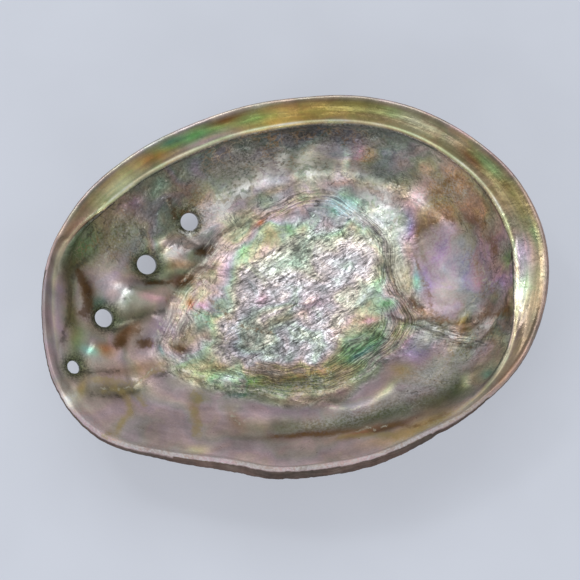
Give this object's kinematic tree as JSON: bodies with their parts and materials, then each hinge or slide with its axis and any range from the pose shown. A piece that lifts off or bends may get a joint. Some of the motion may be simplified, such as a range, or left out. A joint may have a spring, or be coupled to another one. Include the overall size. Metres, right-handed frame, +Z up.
{
  "type": "abalone shell",
  "caption": "Ear-shaped sea shell lying on its back as a shallow dish, with a pearly hollow, a flat ledge inside one side and a row of breathing holes.",
  "frame": {"origin": "middle of the bounding box's base, on the surface that the shell lies on", "axes": "+Z up, out of the hollow; +X along the shell's length towards the spire end; +Y across it towards the side with the flat ledge"},
  "size_m": [0.1802, 0.1391, 0.046],
  "materials": {
    "nacre": "polished pearl, satin to glossy"
  },
  "bodies": {
    "root": {"shell": "nacre"}
  },
  "joints": []
}
